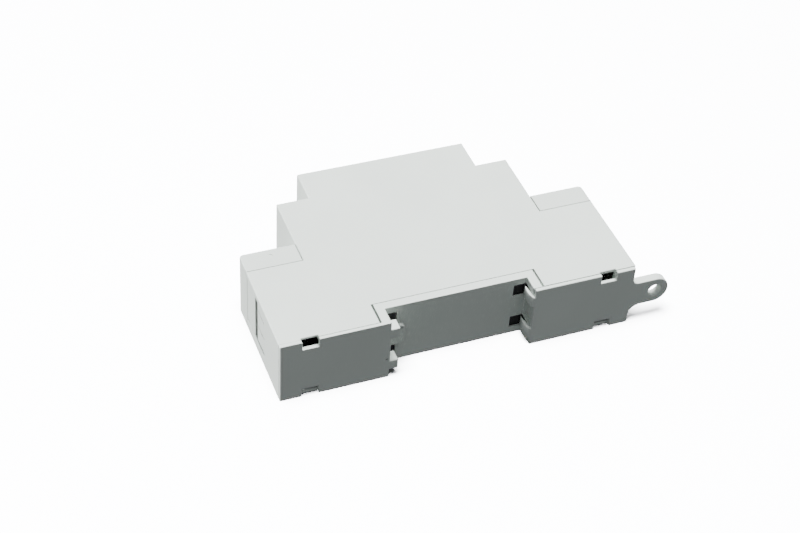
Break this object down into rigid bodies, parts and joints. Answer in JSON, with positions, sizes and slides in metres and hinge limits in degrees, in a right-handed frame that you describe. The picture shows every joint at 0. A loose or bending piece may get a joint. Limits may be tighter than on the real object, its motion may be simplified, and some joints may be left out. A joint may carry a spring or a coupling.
{
  "type": "industrial control relay",
  "caption": "Slim stepped plastic relay module that clips onto a 35 mm rail, with a spring-loaded rail clip, pull eye and screw terminals under end caps.",
  "frame": {"origin": "centre of the rail seat, the flat floor of the rail channel, half way across the module", "axes": "+X along the casing towards the pull eye, +Y from the rail to the nose, +Z across the module; the relay lies on its broad side"},
  "size_m": [0.0995, 0.0579, 0.0176],
  "materials": {
    "casing": "moulded, fine matt texture",
    "cap": "moulded, fine matt texture",
    "terminal_moulding": "moulded, glass filled",
    "zinc_steel": "zinc plated",
    "relay_iron": "nickel plated soft iron",
    "contact_metal": "tin plated",
    "light_pipe": "clear moulded",
    "board": "lacquered laminate",
    "relay_cover": "clear moulded",
    "bobbin": "moulded",
    "copper": "enamelled wire",
    "film_capacitor": "potted box",
    "capacitor_sleeve": "shrunk sleeve",
    "varistor": "dipped",
    "power_led": "tinted epoxy",
    "relay_led": "tinted epoxy",
    "diode_glass": "glass",
    "chip_black": "moulded"
  },
  "bodies": {
    "casing": {"housing": "casing", "rear_base": "casing", "insulating_plate": "terminal_moulding", "clip_spring": "zinc_steel", "terminal_cap_left": "cap", "terminal_cap_right": "cap", "wire_shield_left": "casing", "wire_shield_right": "casing", "front_panel": "cap", "power_light_pipe": "light_pipe", "relay_light_pipe": "light_pipe", "terminal_block_left": "terminal_moulding", "terminal_block_right": "terminal_moulding", "contact_bars_left": "contact_metal", "contact_bars_right": "contact_metal", "circuit_board": "board", "relay_base": "terminal_moulding", "relay_cover": "relay_cover", "coil_bobbin": "bobbin", "coil_winding": "copper", "relay_core": "relay_iron", "relay_yoke": "relay_iron", "fixed_contact": "contact_metal", "relay_pins": "contact_metal", "film_capacitor": "film_capacitor", "storage_capacitor": "capacitor_sleeve", "varistor": "varistor", "bridge_rectifier": "chip_black", "driver_chip": "chip_black", "driver_transistor": "chip_black", "flyback_diode": "diode_glass", "chip_resistors": "chip_black", "power_led": "power_led", "relay_led": "relay_led"},
    "rail_clip": {"rail_clip": "casing"},
    "armature": {"relay_armature": "relay_iron", "contact_leaf": "contact_metal"},
    "screw_left_1": {"clamp_screw_left_1": "zinc_steel"},
    "cage_left_1": {"clamp_cage_left_1": "zinc_steel"},
    "screw_left_2": {"clamp_screw_left_2": "zinc_steel"},
    "cage_left_2": {"clamp_cage_left_2": "zinc_steel"},
    "screw_right_1": {"clamp_screw_right_1": "zinc_steel"},
    "cage_right_1": {"clamp_cage_right_1": "zinc_steel"},
    "screw_right_2": {"clamp_screw_right_2": "zinc_steel"},
    "cage_right_2": {"clamp_cage_right_2": "zinc_steel"}
  },
  "joints": [
    {"name": "clip_slide", "type": "slide", "parent": "casing", "child": "rail_clip", "axis": [1, 0, 0], "range_m": [0, 0.003], "stiffness_N_per_m": 900, "springref_m": -0.002, "deforming": ["clip_spring"]},
    {"name": "armature_tilt", "type": "hinge", "parent": "casing", "child": "armature", "pos_m": [0.0126, 0.016, 0.005], "axis": [0, 1, 0], "range_deg": [0, 4.2], "stiffness_Nm_per_rad": 0.004, "springref_deg": -6.88},
    {"name": "screw_turn_left_1", "type": "hinge", "parent": "casing", "child": "screw_left_1", "pos_m": [-0.0378, 0.022, 0.0025], "axis": [0, -1, 0], "range_deg": [0, 2520]},
    {"name": "cage_lift_left_1", "type": "slide", "parent": "casing", "child": "cage_left_1", "axis": [0, 1, 0], "range_m": [0, 0.0035]},
    {"name": "screw_turn_left_2", "type": "hinge", "parent": "casing", "child": "screw_left_2", "pos_m": [-0.0378, 0.022, -0.0025], "axis": [0, -1, 0], "range_deg": [0, 2520]},
    {"name": "cage_lift_left_2", "type": "slide", "parent": "casing", "child": "cage_left_2", "axis": [0, 1, 0], "range_m": [0, 0.0035]},
    {"name": "screw_turn_right_1", "type": "hinge", "parent": "casing", "child": "screw_right_1", "pos_m": [0.0378, 0.022, 0.0025], "axis": [0, -1, 0], "range_deg": [0, 2520]},
    {"name": "cage_lift_right_1", "type": "slide", "parent": "casing", "child": "cage_right_1", "axis": [0, 1, 0], "range_m": [0, 0.0035]},
    {"name": "screw_turn_right_2", "type": "hinge", "parent": "casing", "child": "screw_right_2", "pos_m": [0.0378, 0.022, -0.0025], "axis": [0, -1, 0], "range_deg": [0, 2520]},
    {"name": "cage_lift_right_2", "type": "slide", "parent": "casing", "child": "cage_right_2", "axis": [0, 1, 0], "range_m": [0, 0.0035]}
  ],
  "couplings": [
    {"joint": "screw_turn_left_1", "follows": "cage_lift_left_1", "rad_per_m": 12566},
    {"joint": "screw_turn_left_2", "follows": "cage_lift_left_2", "rad_per_m": 12566},
    {"joint": "screw_turn_right_1", "follows": "cage_lift_right_1", "rad_per_m": 12566},
    {"joint": "screw_turn_right_2", "follows": "cage_lift_right_2", "rad_per_m": 12566}
  ]
}
